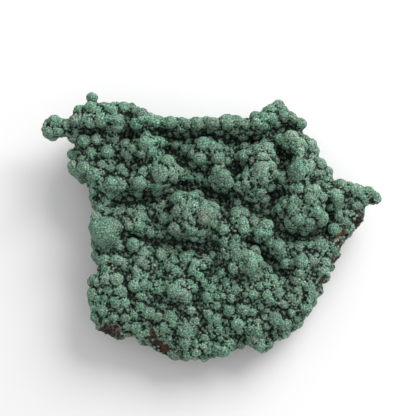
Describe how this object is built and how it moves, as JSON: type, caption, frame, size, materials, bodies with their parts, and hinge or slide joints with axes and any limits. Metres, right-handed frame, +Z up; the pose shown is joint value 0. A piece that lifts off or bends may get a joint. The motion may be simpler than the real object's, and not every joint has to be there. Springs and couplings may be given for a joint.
{
  "type": "malachite specimen",
  "caption": "Irregular botryoidal malachite crust on a dark iron-oxide slab, lying on its broken back as a display stone.",
  "frame": {"origin": "on the ground plane, under the middle of the stone's bounding box", "axes": "+X along the stone's width towards the pointed right arm, +Y towards the rear ridge, +Z up out of the crust"},
  "size_m": [0.1096, 0.0856, 0.0292],
  "materials": {
    "malachite": "velvety green botryoidal malachite over rough dark brown iron-oxide rock"
  },
  "bodies": {
    "root": {"malachite_specimen": "malachite"}
  },
  "joints": []
}
